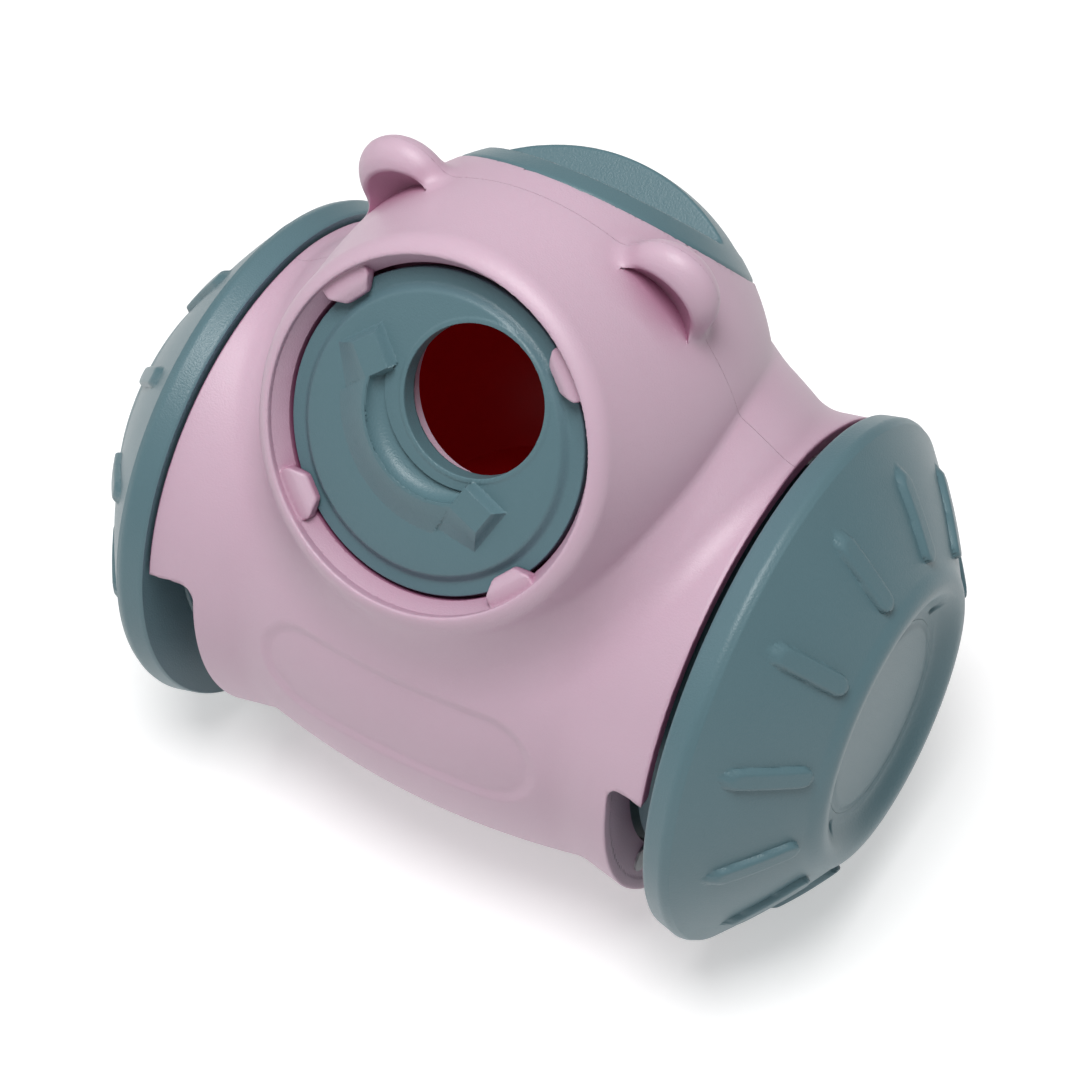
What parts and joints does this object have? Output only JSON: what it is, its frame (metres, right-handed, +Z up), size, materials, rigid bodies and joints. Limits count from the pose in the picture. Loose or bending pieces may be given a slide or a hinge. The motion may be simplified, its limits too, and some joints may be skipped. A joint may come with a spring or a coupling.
{
  "type": "treat dispensing ball",
  "caption": "Two-wheeled treat roller for pets: a weighted barrel body with a ball-shaped food chamber, an adjustable outlet dial, a twist-off fill lid and free-turning domed wheels.",
  "frame": {"origin": "on the floor under the middle of the axle, midway between the wheels", "axes": "+X along the axle to the right wheel, -Y towards the side of the treat outlet, +Z up"},
  "size_m": [0.1354, 0.092, 0.1256],
  "materials": {
    "shell_plastic": "pink moulded ABS, fine satin texture",
    "wheel_plastic": "grey-green moulded ABS, fine satin texture",
    "chamber_plastic": "red moulded polypropylene, smooth",
    "bearing_plastic": "natural acetal, smooth",
    "silicone": "translucent silicone rubber",
    "steel": "bright drawn steel"
  },
  "bodies": {
    "body": {"front_shell": "shell_plastic", "rear_shell": "shell_plastic", "hopper_front": "chamber_plastic", "hopper_rear": "chamber_plastic", "dial_seal": "silicone", "axle": "steel", "left_end_plate": "wheel_plastic", "right_end_plate": "wheel_plastic", "left_plate_screws": "steel", "right_plate_screws": "steel", "counterweight": "steel", "weight_cover": "wheel_plastic", "weight_screws": "steel", "left_spacer": "bearing_plastic", "right_spacer": "bearing_plastic", "left_washer": "steel", "right_washer": "steel", "left_axle_screw": "steel", "right_axle_screw": "steel"},
    "left_wheel": {"left_wheel": "wheel_plastic", "left_bush": "bearing_plastic", "left_hub_cap": "wheel_plastic"},
    "right_wheel": {"right_wheel": "wheel_plastic", "right_bush": "bearing_plastic", "right_hub_cap": "wheel_plastic"},
    "dial": {"outlet_dial": "wheel_plastic"},
    "lid_seal": {"lid_gasket": "silicone"},
    "lid": {"fill_lid": "wheel_plastic"}
  },
  "joints": [
    {"name": "left_wheel_spin", "type": "hinge", "parent": "body", "child": "left_wheel", "pos_m": [-0.05, 0, 0.046], "axis": [1, 0, 0], "continuous": true},
    {"name": "right_wheel_spin", "type": "hinge", "parent": "body", "child": "right_wheel", "pos_m": [0.05, 0, 0.046], "axis": [1, 0, 0], "continuous": true},
    {"name": "dial_turn", "type": "hinge", "parent": "body", "child": "dial", "pos_m": [0, -0.02609, 0.09932], "axis": [0, -0.8695, 0.4939], "continuous": true},
    {"name": "lid_lift", "type": "slide", "parent": "body", "child": "lid_seal", "axis": [0, 0.7804, 0.6252], "range_m": [0, 0.03]},
    {"name": "lid_turn", "type": "hinge", "parent": "lid_seal", "child": "lid", "pos_m": [0, 0.02341, 0.10326], "axis": [0, 0.7804, 0.6252], "range_deg": [0, 40]}
  ]
}
